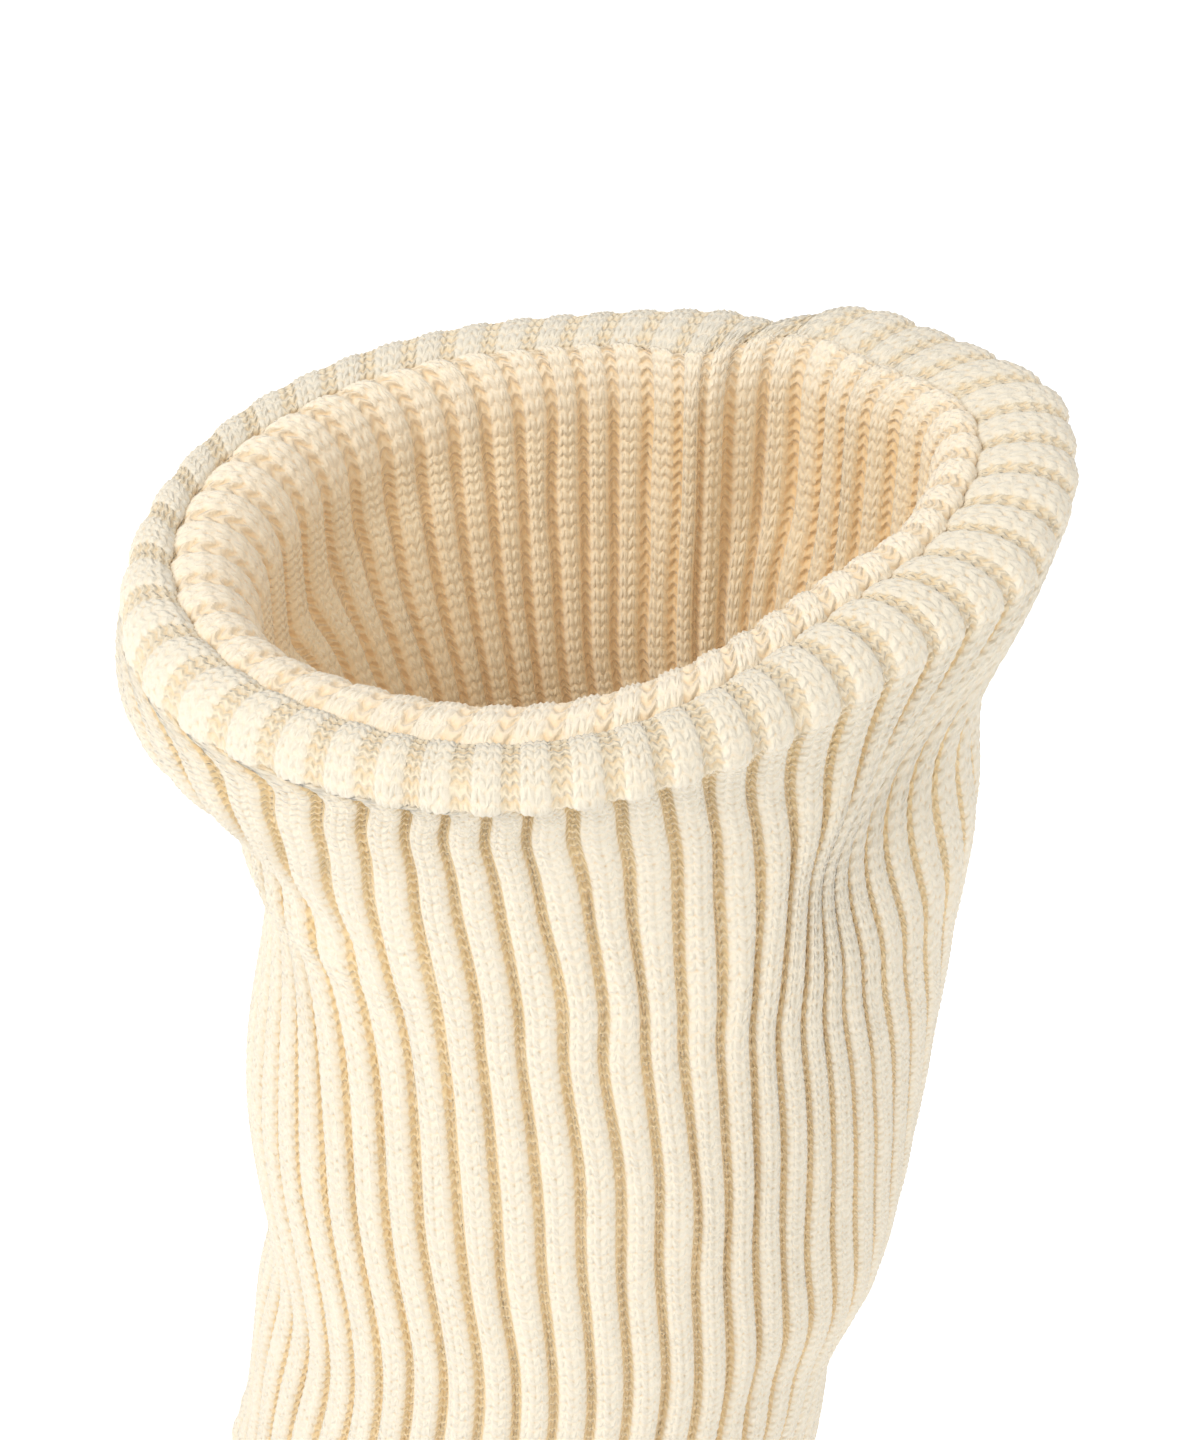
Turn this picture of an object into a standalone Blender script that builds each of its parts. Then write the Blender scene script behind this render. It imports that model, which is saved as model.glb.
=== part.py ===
"""A thick rib-knit loose sock, filled out as if worn, standing on its flat sole.

Metres, +Z up. The toe points to -X, the calf side is +X, and the near side is -Y.
The tube is a loft through rings. A ring is set by four points: its shin (or instep)
point and its calf (or sole) point in the XZ plane, and its near and far edges in Y.
Ribs are counted round the tube from the far side, by way of the shin and the near side.
"""

import math
from collections import namedtuple

import bpy
import numpy as np

MM = 0.001

# ---- Driving dimensions, in millimetres ----------------------------------
RIBS = 50               # 2x2 ribs, so 200 stitches round
RIB_PITCH = 5.6         # mean width of one rib and its groove, relaxed
WALL = 1.8              # knit between the ribs
RIB_RISE = 1.2          # a rib stands this far above the groove beside it
CLOTH = WALL + RIB_RISE
SEAM_GAP = 0.3          # clearance between two pieces
LAYER_GAP = 1.6         # least clearance between the two layers of the cuff
RIM_HEIGHT = 300.0      # mean height of the mouth's seam
ROLL_HEIGHT = 3.8       # vertical half-height of both rolls at the mouth
ROLL_START = math.radians(150)  # where the seam lies on a roll's round section
SEAM_PRESS = 0.70       # the knit is pressed to this share of its thickness at the seam
FACING_HEM = "belly"    # the ring that the inner layer of the cuff reaches down to
SOLE_BLEND = 2.5        # rounding between the flat sole and the sides

# ---- How finely the solids are cut ----------------------------------------
RIB_POINTS = 2          # a crest and a groove for each rib
PLAIN_POINTS = 40       # round a plain face
RINGS_PER_ROW = 2       # from one row of SOCK_RINGS to the next
ROLL_RINGS = 5          # from the seam to the widest point of a roll

# ---- Rings over the crests of the ribs -------------------------------------
# shin, calf: the two points of the ring over the foot's line, or over instep and sole
# near, far: the y of its near and far edges, which lie mid of the way from shin to calf
# tip: the far edge lies this far above the plane of the ring, the near edge below it
# crowd_near, crowd_calf: the share by which ribs are closer together on that side
# crowd_faces: the same for the near and far sides, against the shin and the calf
# turn: the number of the rib at the far edge
Ring = namedtuple(
    "Ring",
    "name shin_x shin_y shin_z calf_x calf_y calf_z near far mid tip"
    " crowd_near crowd_calf crowd_faces turn",
)

SEAM = Ring("seam", -50, -5, 296, 50.5, 15, 304, -41, 38.5, 0.50, 2.5, -0.10, 0.05, 0.10, 1.5)
INNER_BRIM = Ring("brim", -43, -4, 293, 43.5, 13, 301, -33, 31, 0.50, 2.5, -0.10, 0.05, 0.04, 1.8)

SOCK_RINGS = (
    Ring("brim", -57, -6, 291, 62.5, 14, 301, -47.5, 50, 0.50, 4, -0.10, 0.05, 0.14, 1.6),
    Ring("under_brim", -55, -7, 281, 57.5, 9, 285, -45, 46, 0.50, 1, 0.00, 0.03, 0.12, 0.3),
    Ring("flare", -47.5, -7, 270, 52.5, 3, 272, -44, 43, 0.50, 0, 0.12, 0.00, 0.08, 0.2),
    Ring("neck", -43.5, -8, 258, 51.5, 0, 259, -44, 40.5, 0.50, 0, 0.14, 0.00, 0.04, 0.4),
    Ring("notch", -42, -7, 249, 50, -2, 245, -44.5, 39, 0.50, 0, 0.14, 0.00, 0.02, 0.5),
    Ring("belly", -47.5, -6, 218, 48, -3, 216, -45, 37.5, 0.50, 0, 0.08, 0.00, 0.00, -0.7),
    Ring("shaft", -47.5, -6, 191, 46, -3, 193, -45.5, 37, 0.50, 0, 0.07, 0.00, 0.00, -1.3),
    Ring("taper", -49.5, -6, 174, 43, -3, 173, -46, 36.5, 0.50, 0, 0.06, 0.00, 0.00, -1.5),
    Ring("cinch", -52, -6, 155, 38.5, -3, 156, -45, 36, 0.50, 0, 0.05, 0.00, 0.00, -1.5),
    Ring("shank", -55.5, -5, 132, 36, -4, 133, -43, 35, 0.50, 0, 0.04, 0.00, 0.00, -1.4),
    Ring("ankle", -58, -4, 114, 34, -4, 112, -40, 34, 0.50, 0, 0.00, 0.00, 0.00, -1.0),
    Ring("heel_top", -62, -3, 103, 35, -3, 78, -38, 33, 0.50, 0, 0.00, 0.00, 0.00, -0.6),
    Ring("heel_back", -66, -3, 95, 33, -3, 36, -37, 32, 0.52, 0, 0.00, 0.00, 0.00, -0.2),
    Ring("heel_round", -69, -3, 92, 28, -3, 12, -37, 32, 0.53, 0, 0.00, 0.00, 0.00, 0.0),
    Ring("heel_base", -73, -3, 87, 10, -3, -5, -37, 32, 0.55, 0, 0.00, 0.00, 0.00, 0.0),
    Ring("arch", -84, -3, 79, -34, -3, -5, -38, 33, 0.62, 0, 0.00, 0.00, 0.00, 0.0),
    Ring("instep", -100, -3, 69, -74, -3, -5, -40, 35, 0.66, 0, 0.00, 0.00, 0.00, 0.0),
    Ring("ball", -124, -3, 58, -114, -3, -5, -43, 38, 0.68, 0, 0.00, 0.00, 0.00, 0.0),
    Ring("toe_line", -150, -3, 48, -147, -3, -5, -42, 37, 0.66, 0, 0.00, 0.00, 0.00, 0.0),
    Ring("toe_box", -172, -3, 39, -171, -3, -4, -36, 31, 0.62, 0, 0.00, 0.00, 0.00, 0.0),
    Ring("toe_round", -186, -3, 30, -185.5, -3, 0, -27, 22, 0.55, 0, 0.00, 0.00, 0.00, 0.0),
    Ring("toe_seam", -193, -3, 21, -193, -3, 8, -15, 10, 0.50, 0, 0.00, 0.00, 0.00, 0.0),
)
TOE_TIP = (-195.0, -2.5, 14.5)

# ---- Folds and swells of the leg and mouth -------------------------------------
# rib and drop (millimetres below the mouth) at both ends of the fold, its half-width
# and how far it stands out, negative for a trough
Fold = namedtuple("Fold", "name rib_1 drop_1 rib_2 drop_2 half_width rise")
FOLDS = (
    Fold("far shin corner", 6.5, -5, 8.5, 8, 24, 7.5),
    Fold("near shin flat", 18, -5, 20, 5, 18, -3.0),
    Fold("near calf flat", 31, -5, 33, 10, 20, -4.0),
    Fold("far calf dip", 48.6, -6, 48.2, 10, 8, -4.5),
    Fold("far calf peak", 45.2, -6, 44.8, 10, 9, 3.5),
    Fold("calf crease", 38, 16, 34, 46, 8, -5.0),
    Fold("calf swell", 34.5, 12, 31.5, 34, 9, 2.5),
    Fold("far swell", 44, 52, 51, 74, 16, 2.5),
    Fold("far trough", 46, 96, 54, 108, 12, -2.0),
    Fold("shin pucker", 9, 112, 16, 124, 9, -2.0),
    Fold("cinch crease", 36, 140, 30.5, 156, 8, -3.0),
    Fold("far slouch", 42, 150, 54, 162, 9, -2.5),
    Fold("instep crease", 6, 190, 18, 190, 8, -3.0),
    Fold("instep swell", 7, 172, 17, 174, 9, 2.0),
    Fold("heel crease", 30, 203, 45, 206, 9, -3.0),
)


def rings_between(table, first, last, count):
    """Rings at even steps from row first to row last, on a smooth curve through the rows."""
    rows = np.array([row[1:] for row in table], float)
    places = np.linspace(first, last, count)
    found = []
    for place in places:
        low = min(int(place), len(rows) - 2)
        part = place - low
        before = rows[max(low - 1, 0)]
        here, after = rows[low], rows[low + 1]
        beyond = rows[min(low + 2, len(rows) - 1)]
        leave, arrive = (after - before) / 2, (beyond - here) / 2
        found.append(
            (2 * part**3 - 3 * part**2 + 1) * here
            + (part**3 - 2 * part**2 + part) * leave
            + (3 * part**2 - 2 * part**3) * after
            + (part**3 - part**2) * arrive
        )
    return [Ring("between", *row) for row in found]


def fold_rise(ribs, drop):
    """How far the folds move the cloth out at these ribs and drops below the mouth."""
    total = np.zeros(np.broadcast(ribs, drop).shape)
    for fold in FOLDS:
        away = np.mod(ribs - fold.rib_1 + RIBS / 2, RIBS) - RIBS / 2
        run = np.array([(fold.rib_2 - fold.rib_1) * RIB_PITCH, fold.drop_2 - fold.drop_1])
        across, along = away * RIB_PITCH, drop - fold.drop_1
        share = np.clip((across * run[0] + along * run[1]) / (run @ run), 0, 1)
        gap = np.hypot(across - share * run[0], along - share * run[1])
        total = total + fold.rise * np.exp(-((gap / fold.half_width) ** 2))
    return total


def ribs_along(curve, across, away, ring):
    """How many ribs lie between the start of a closed curve and each of its points."""
    steps = np.linalg.norm(np.diff(curve, axis=0), axis=1)
    crowd = (
        ring.crowd_calf * across - ring.crowd_near * away
        + ring.crowd_faces * (away**2 - across**2)
    )
    steps *= 1 + crowd[1:]
    return np.concatenate([[0], np.cumsum(steps)]) / steps.sum() * RIBS


def ring_points(ring, ribs):
    """Points of a ring at the given rib numbers, in millimetres."""
    shin = np.array([ring.shin_x, ring.shin_y, ring.shin_z])
    calf = np.array([ring.calf_x, ring.calf_y, ring.calf_z])
    middle = shin + (calf - shin) * ring.mid
    middle[1] = (ring.near + ring.far) / 2
    half_depth = (ring.far - ring.near) / 2
    angle = np.linspace(0, 2 * math.pi, 721)
    across = -np.sin(angle)                 # -1 at the shin, 1 at the calf
    away = np.cos(angle)                    # 1 at the far edge, -1 at the near edge
    reach = np.where(across[:, None] > 0, calf - middle, middle - shin) * across[:, None]
    slant = (ring.calf_y - ring.shin_y) / 2
    bow = (ring.calf_y + ring.shin_y) / 2 - middle[1]
    curve = middle + np.stack([
        reach[:, 0],
        half_depth * away + slant * across + bow * across**2,
        reach[:, 2] + ring.tip * away,
    ], axis=1)
    along = ribs_along(curve, across, away, ring)
    outward = np.cross(np.gradient(curve, axis=0), np.cross(calf - shin, (0, 1, 0)))
    outward /= np.linalg.norm(outward, axis=1, keepdims=True)
    rise = fold_rise(along + ring.turn, RIM_HEIGHT - curve[:, 2])
    curve = curve + outward * rise[:, None]
    wanted = np.mod(ribs - ring.turn, RIBS)
    return np.stack([np.interp(wanted, along, curve[:, axis]) for axis in range(3)], axis=1)


def grid_of(rings, ribs):
    return np.array([ring_points(ring, ribs) for ring in rings])


def normals_of(grid):
    """Outward directions on a grid whose rows run down the tube and whose columns close round it."""
    down = np.gradient(grid, axis=0)
    round_tube = np.roll(grid, -1, axis=1) - np.roll(grid, 1, axis=1)
    normal = np.cross(down, round_tube)
    return normal / np.linalg.norm(normal, axis=2, keepdims=True)


def roll(seam, brim):
    """Rings over a roll: from its seam, up and over, to its widest ring."""
    rise = ROLL_HEIGHT * math.sin(ROLL_START)
    reach = brim - seam
    rings = []
    for part in np.linspace(0, 1, ROLL_RINGS):
        angle = ROLL_START * (1 - part)
        out = (math.cos(angle) - math.cos(ROLL_START)) / (1 - math.cos(ROLL_START))
        ring = seam + reach * out
        ring[:, 2] = (
            seam[:, 2]
            + ROLL_HEIGHT * math.sin(angle) - rise
            + (reach[:, 2] + rise) * part**2
        )
        rings.append(ring)
    return np.array(rings)


def row_of(name):
    return [ring.name for ring in SOCK_RINGS].index(name)


def laid_on(level, points):
    """The same points with what would be under this level laid flat on it."""
    height = points[..., 2] - level
    eased = (height + SOLE_BLEND) ** 2 / (4 * SOLE_BLEND)
    eased = np.where(height < -SOLE_BLEND, 0, np.where(height > SOLE_BLEND, height, eased))
    return np.concatenate([points[..., :2], level + eased[..., None]], axis=-1)


def crests(ribs):
    """Rings over the crests of the outer layer, brim to toe, and their outward directions."""
    count = (len(SOCK_RINGS) - 1) * RINGS_PER_ROW + 1
    grid = grid_of(rings_between(SOCK_RINGS, 0, len(SOCK_RINGS) - 1, count), ribs)
    return grid, normals_of(grid)


def pressed(rows):
    """The share of its thickness that the knit keeps at each ring, from the seam on."""
    share = np.ones(rows)
    share[:ROLL_RINGS] = np.linspace(SEAM_PRESS, 1, ROLL_RINGS)
    return share[:, None, None]


def with_roll(grid, seam_ring, ribs):
    """The grid with the rings of a roll before it, and the outward directions of both."""
    seam = ring_points(seam_ring, ribs)
    outward = grid[0] - seam
    outward[:, 2] = 0
    outward /= np.linalg.norm(outward, axis=1, keepdims=True)
    rolled = roll(seam + outward * SEAM_GAP / 2, grid[0])
    whole = np.concatenate([rolled[:-1], grid])
    return whole, normals_of(whole)


def facing_crests(ribs):
    """Rings over the crests of the inner layer, which hangs straight inside the outer one."""
    rows = slice(row_of(FACING_HEM) * RINGS_PER_ROW + 1)
    outer, normal = (side[rows] for side in crests(ribs))
    lining = outer - normal * (2 * CLOTH + LAYER_GAP)
    hanging = ring_points(INNER_BRIM, ribs) + (outer - outer[0]) * (0, 0, 1)
    settled = np.linspace(0, 1, len(outer))[:, None, None]
    settled = settled**2 * (3 - 2 * settled)
    grid = hanging + (lining - hanging) * settled
    beyond = np.sum((grid - lining) * normal, axis=2, keepdims=True)
    return with_roll(grid - normal * np.maximum(beyond, 0), SEAM, ribs)


def zip_rings(first, first_ribs, second, second_ribs):
    """Triangles between two closed rings of points, which may differ in number."""
    faces = []
    i = j = 0
    while i < len(first) or j < len(second):
        next_i = first_ribs[i + 1] if i + 1 < len(first) else RIBS + first_ribs[0]
        next_j = second_ribs[j + 1] if j + 1 < len(second) else RIBS + second_ribs[0]
        here, there = first[i % len(first)], second[j % len(second)]
        if j >= len(second) or (i < len(first) and next_i <= next_j):
            faces.append((here, there, first[(i + 1) % len(first)]))
            i += 1
        else:
            faces.append((here, there, second[(j + 1) % len(second)]))
            j += 1
    return faces


def quads(rows, columns, start):
    """Faces of a grid that closes round, its points numbered from start."""
    faces = []
    for row in range(rows - 1):
        for column in range(columns):
            here = start + row * columns + column
            beside = start + row * columns + (column + 1) % columns
            faces.append((here, here + columns, beside + columns, beside))
    return faces


def numbered(grid, start):
    """The point numbers of a grid's first and last rings, its points numbered from start."""
    rows, columns = grid.shape[:2]
    first = list(range(start, start + columns))
    return first, [point + (rows - 1) * columns for point in first]


def fan(ring, tip):
    return [(b, a, tip) for a, b in zip(ring, ring[1:] + ring[:1])]


def add_wall(name, outside, outside_ribs, inside, inside_ribs, tips=()):
    """A closed wall between two grids. tips close their last rings, if given."""
    start = outside.shape[0] * outside.shape[1]
    points = np.concatenate([outside.reshape(-1, 3), inside.reshape(-1, 3)])
    first_out, last_out = numbered(outside, 0)
    first_in, last_in = numbered(inside, start)
    outward = quads(*outside.shape[:2], 0)
    inward = quads(*inside.shape[:2], start)
    inward += zip_rings(first_out, outside_ribs, first_in, inside_ribs)
    if tips:
        outward += fan(last_out, len(points))
        inward += fan(last_in, len(points) + 1)
        points = np.concatenate([points, tips])
    else:
        outward += zip_rings(last_out, outside_ribs, last_in, inside_ribs)
    mesh = bpy.data.meshes.new(name)
    mesh.from_pydata((points * MM).tolist(), [], outward + [face[::-1] for face in inward])
    return bpy.data.objects.new(name, mesh)


def part_from_neighbour(grid, start, end):
    """Draws the first and last rings in by half a seam gap, where another piece meets them."""
    grid = grid.copy()
    for ring, inner, wanted in ((0, 1, start), (-1, -2, end)):
        if wanted:
            inward = grid[inner] - grid[ring]
            inward /= np.linalg.norm(inward, axis=1, keepdims=True)
            grid[ring] += inward * SEAM_GAP / 2
    return grid


def rib_relief(ribs, plain_side):
    """How far the knit lies under the crests: in each groove, and all over a plain side."""
    groove = np.mod(ribs, 1) == 0
    if plain_side:
        groove = groove | (np.mod(ribs, RIBS) > RIBS / 2)
    return np.where(groove, RIB_RISE, 0.0)[None, :, None]


RIBBED = np.arange(RIBS * RIB_POINTS) / RIB_POINTS
PLAIN = np.arange(PLAIN_POINTS) * RIBS / PLAIN_POINTS + 0.5
TOE = np.arange(RIBS) + 0.5


def make_leg():
    ends = row_of("ankle") * RINGS_PER_ROW + ROLL_RINGS
    sides = []
    for ribs in (RIBBED, PLAIN):
        grid, normal = with_roll(crests(ribs)[0], SEAM, ribs)
        sides.append((part_from_neighbour(grid[:ends], False, True), normal[:ends]))
    (face, out), (back, back_out) = sides
    share = pressed(len(face))
    face = face - out * rib_relief(RIBBED, False) * share
    back = back - back_out * CLOTH * share
    return add_wall("leg", face, RIBBED, back, PLAIN)


def make_facing():
    face, out = facing_crests(RIBBED)
    back, back_out = facing_crests(PLAIN)
    share = pressed(len(face))
    face = face + out * rib_relief(RIBBED, False) * share
    back = back + back_out * CLOTH * share
    return add_wall("cuff_facing", back, PLAIN, face, RIBBED)


def make_tube(name, first, last):
    """A stretch of the foot: ribbed over the instep and plain underneath."""
    rows = slice(row_of(first) * RINGS_PER_ROW, row_of(last) * RINGS_PER_ROW + 1)
    face, out = (side[rows] for side in crests(RIBBED))
    back, back_out = (side[rows] for side in crests(PLAIN))
    face = part_from_neighbour(face, True, True) - out * rib_relief(RIBBED, True)
    back = part_from_neighbour(back, True, True) - back_out * CLOTH
    return add_wall(name, laid_on(0, face), RIBBED, laid_on(CLOTH, back), PLAIN)


def make_toe():
    rows = slice(row_of("toe_line") * RINGS_PER_ROW, None)
    face, out = (side[rows] for side in crests(TOE))
    back, back_out = (side[rows] for side in crests(PLAIN))
    face = part_from_neighbour(face, True, False) - out * RIB_RISE
    back = part_from_neighbour(back, True, False) - back_out * CLOTH
    tip = np.array(TOE_TIP)
    tips = (tip, tip + (CLOTH, 0, 0))
    return add_wall("toe", laid_on(0, face), TOE, laid_on(CLOTH, back), PLAIN, tips)


def knit_material(name, colour):
    material = bpy.data.materials.new(name)
    material.use_nodes = True
    shader = material.node_tree.nodes["Principled BSDF"]
    shader.inputs["Base Color"].default_value = (*colour, 1)
    shader.inputs["Roughness"].default_value = 0.95
    material.diffuse_color = (*colour, 1)
    return material


def clear_scene():
    for obj in list(bpy.data.objects):
        bpy.data.objects.remove(obj, do_unlink=True)


def centre_over_origin(objects):
    """Moves the whole sock so that the middle of its outline from above is the origin."""
    corners = np.array([vertex.co for obj in objects for vertex in obj.data.vertices])
    middle = (corners.min(axis=0) + corners.max(axis=0)) / 2
    for obj in objects:
        obj.location = (-middle[0], -middle[1], -corners[:, 2].min())


def main():
    clear_scene()
    collection = bpy.data.collections.new("loose_sock")
    bpy.context.scene.collection.children.link(collection)
    pieces = (
        (make_leg(), (0.93, 0.87, 0.74)),
        (make_facing(), (0.92, 0.85, 0.71)),
        (make_tube("heel", "ankle", "arch"), (0.91, 0.85, 0.73)),
        (make_tube("foot", "arch", "toe_line"), (0.93, 0.87, 0.74)),
        (make_toe(), (0.91, 0.85, 0.73)),
    )
    for obj, colour in pieces:
        collection.objects.link(obj)
        obj.data.materials.append(knit_material(f"{obj.name}_knit", colour))
    centre_over_origin([obj for obj, _ in pieces])


main()
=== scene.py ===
"""A thick rib-knit loose sock, empty but filled out, in soft studio light.

Lengths are in millimetres until a mesh is made. The form is the loft of the solid model:
rings set by four points, ribs counted round the tube from the far side, by way of the
shin and the near side. Every stitch of the ribs is raised from it in the mesh.
"""

import math
from collections import namedtuple

import bpy
import numpy as np
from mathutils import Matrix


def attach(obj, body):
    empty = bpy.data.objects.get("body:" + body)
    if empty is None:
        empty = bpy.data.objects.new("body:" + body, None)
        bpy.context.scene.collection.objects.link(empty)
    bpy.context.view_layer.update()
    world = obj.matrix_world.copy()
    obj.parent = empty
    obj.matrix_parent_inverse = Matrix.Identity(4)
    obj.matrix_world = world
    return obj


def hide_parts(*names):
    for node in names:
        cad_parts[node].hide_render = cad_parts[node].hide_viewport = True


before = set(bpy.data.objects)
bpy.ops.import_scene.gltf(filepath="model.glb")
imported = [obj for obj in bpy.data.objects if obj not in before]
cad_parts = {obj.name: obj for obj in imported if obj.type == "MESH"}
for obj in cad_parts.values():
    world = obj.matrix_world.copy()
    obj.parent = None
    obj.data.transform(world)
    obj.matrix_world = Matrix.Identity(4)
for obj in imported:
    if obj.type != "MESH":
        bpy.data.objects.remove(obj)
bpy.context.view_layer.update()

MM = 0.001
PLACE = (66.45, -2.02, 0.0)     # the loft's origin in the row frame

# ---- The sock's sizes --------------------------------------------------------
RIBS = 50
RIB_PITCH = 5.6                 # one rib and its groove, round the mouth
CLOTH = 3.0                     # over the ribs
LAYER_GAP = 1.6                 # between the two layers where the inner one has settled
RIM_HEIGHT = 300.0              # the mouth's: drops are counted down from it
ROLL_HEIGHT = 3.8
ROLL_START = math.radians(150)  # round a roll, from its widest ring back to its seam
ROLL_LENGTH = 11.6              # the same way along the cloth
ROLLS_PRESS = 0.5               # how far the two rolls are pressed together at their seam
SEAM_PRESS = 0.70               # the share of its thickness that the knit keeps there
SOLE_BLEND = 2.5                # how softly the flat sole turns up into the sides
OUTER_COURSE = 1.8              # one row of stitches
INNER_COURSE = 2.05
BACK_DEPTH = 3.4                # of the plain side of the knit below its crests
FACING_HANGS = 36               # the inner layer hangs straight this far down
FACING_SETTLES = 40             # and comes to lie along the outer one over this length
FACING_EASE = 2.5               # how softly it is kept inside the outer one
CAP_SUNK = 0.5                  # a cut end of the leg's pieces starts under the surface
FOOT_RELIEF = 1.2               # depth of the grooves on the instep
INSTEP_RIBS = 25                # the first of the ribs round the foot run over the instep
INSTEP_ENDS = 4                 # and sink to the plain knit over this length
YARN_RADIUS = 0.9               # of the linking yarn
YARN_SUNK = 1.1                 # and its depth below the seam

# ---- How finely the knit is cut ------------------------------------------------
ROWS_PER_COURSE = 3
OUTER_FINE = 162                # the leg is cut this fine down to here, below its brim
INNER_FINE = 58                 # and the inner layer down to here
COARSE_STEP = 1.35              # between the leg's rings below that
DEEP_STEP = 2.4                 # and between the inner layer's, out of sight
INSIDE_STEP = 3.0               # between rings of a plain inside
FOOT_STEP = 1.25                # between rings of the heel, foot and toe
PLAIN_RIBS = np.arange(2 * RIBS) / 2 + 0.25     # the columns of a plain inside
RING_STEPS = 720                # in which the ribs are counted round a ring
ROLL_PARTS = 100                # at which the way over a roll is measured
ROW_PARTS = 20                  # the same for the way from one row of SOCK_RINGS to the next
MEASURED_RIBS = np.arange(0, RIBS, 2.5)         # along which it is measured
YARN_STEPS = 12                 # of the linking yarn, to a rib
YARN_SIDES = 8

Ring = namedtuple(
    "Ring",
    "name shin_x shin_y shin_z calf_x calf_y calf_z near far mid tip"
    " crowd_near crowd_calf crowd_faces turn",
)

SEAM = Ring("seam", -50, -5, 296, 50, 15, 304, -42.3, 38.5, 0.50, 2.5, -0.10, 0.05, 0.10, 1.5)
INNER_BRIM = Ring("brim", -40, -4, 286, 44, 13, 300, -31, 34.8, 0.50, 1.0, -0.10, 0.05, 0.10, 1.5)

SOCK_RINGS = (
    Ring("brim", -57, -6, 291, 62.5, 14, 301, -47.5, 50, 0.50, 4, -0.10, 0.05, 0.14, 1.6),
    Ring("under_brim", -55, -7, 281, 57.5, 9, 285, -45, 46, 0.50, 1, 0.09, 0.03, 0.10, 0.3),
    Ring("flare", -47.5, -7, 270, 52.5, 3, 272, -44, 43, 0.50, 0, 0.12, 0.00, 0.08, 0.2),
    Ring("neck", -43.5, -8, 258, 51.5, 0, 259, -44, 40.5, 0.50, 0, 0.14, 0.00, 0.04, 0.4),
    Ring("notch", -42, -7, 249, 50, -2, 245, -44.5, 39, 0.50, 0, 0.14, 0.00, 0.02, 0.5),
    Ring("belly", -47.5, -6, 218, 48, -3, 216, -45, 37.5, 0.50, 0, 0.08, 0.00, 0.00, -0.7),
    Ring("shaft", -47.5, -6, 191, 46, -3, 193, -45.5, 37, 0.50, 0, 0.07, 0.00, 0.00, -1.3),
    Ring("taper", -49.5, -6, 174, 43, -3, 173, -46, 36.5, 0.50, 0, 0.06, 0.00, 0.00, -1.5),
    Ring("cinch", -52, -6, 155, 38.5, -3, 156, -45, 36, 0.50, 0, 0.05, 0.00, 0.00, -1.5),
    Ring("shank", -55.5, -5, 132, 36, -4, 133, -43, 35, 0.50, 0, 0.04, 0.00, 0.00, -1.4),
    Ring("ankle", -58, -4, 114, 34, -4, 112, -40, 34, 0.50, 0, 0.00, 0.00, 0.00, -1.0),
    Ring("heel_top", -62, -3, 103, 35, -3, 78, -38, 33, 0.50, 0, 0.00, 0.00, 0.00, -0.6),
    Ring("heel_back", -66, -3, 95, 33, -3, 36, -37, 32, 0.52, 0, 0.00, 0.00, 0.00, -0.2),
    Ring("heel_round", -69, -3, 92, 28, -3, 12, -37, 32, 0.53, 0, 0.00, 0.00, 0.00, 0.0),
    Ring("heel_base", -73, -3, 87, 10, -3, -5, -37, 32, 0.55, 0, 0.00, 0.00, 0.00, 0.0),
    Ring("arch", -84, -3, 79, -34, -3, -5, -38, 33, 0.62, 0, 0.00, 0.00, 0.00, 0.0),
    Ring("instep", -100, -3, 69, -74, -3, -5, -40, 35, 0.66, 0, 0.00, 0.00, 0.00, 0.0),
    Ring("ball", -124, -3, 58, -114, -3, -5, -43, 38, 0.68, 0, 0.00, 0.00, 0.00, 0.0),
    Ring("toe_line", -150, -3, 48, -147, -3, -5, -42, 37, 0.66, 0, 0.00, 0.00, 0.00, 0.0),
    Ring("toe_box", -172, -3, 39, -171, -3, -4, -36, 31, 0.62, 0, 0.00, 0.00, 0.00, 0.0),
    Ring("toe_round", -186, -3, 30, -185.5, -3, 0, -27, 22, 0.55, 0, 0.00, 0.00, 0.00, 0.0),
    Ring("toe_seam", -193, -3, 21, -193, -3, 8, -15, 10, 0.50, 0, 0.00, 0.00, 0.00, 0.0),
)
TOE_TIP = (-195.0, -2.5, 14.5)
CLOSING = (0.3, 0.55, 0.75, 0.9, 0.97)      # rings that close the toe, as parts of the way

# ---- Folds: rib and drop below the mouth at both ends, half-width and rise ---------
Fold = namedtuple("Fold", "name rib_1 drop_1 rib_2 drop_2 half_width rise")
FOLDS = (
    Fold("far shin corner", 6.5, -5, 8.5, 8, 24, 7.5),
    Fold("near shin flat", 18, -5, 20, 5, 18, -3.0),
    Fold("near calf flat", 31, -5, 33, 10, 20, -4.0),
    Fold("calf crease", 37.5, 25, 33, 20, 8, -2.0),
    Fold("calf swell", 35, 6, 30.5, 20, 7, 2.0),
    Fold("shin notch", 14.5, 33, 18, 38, 5, -1.5),
    Fold("far swell", 44, 52, 51, 74, 16, 2.5),
    Fold("far trough", 46, 96, 54, 108, 12, -2.0),
    Fold("shin pucker", 9, 112, 16, 124, 10, -1.4),
    Fold("cinch crease", 36, 139, 29.5, 121, 9, -1.8),
    Fold("far slouch", 42, 150, 54, 162, 9, -2.5),
    Fold("instep crease", 6, 190, 18, 190, 8, -3.0),
    Fold("instep swell", 7, 172, 17, 174, 9, 2.0),
    Fold("heel crease", 30, 203, 45, 206, 9, -3.0),
)

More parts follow.
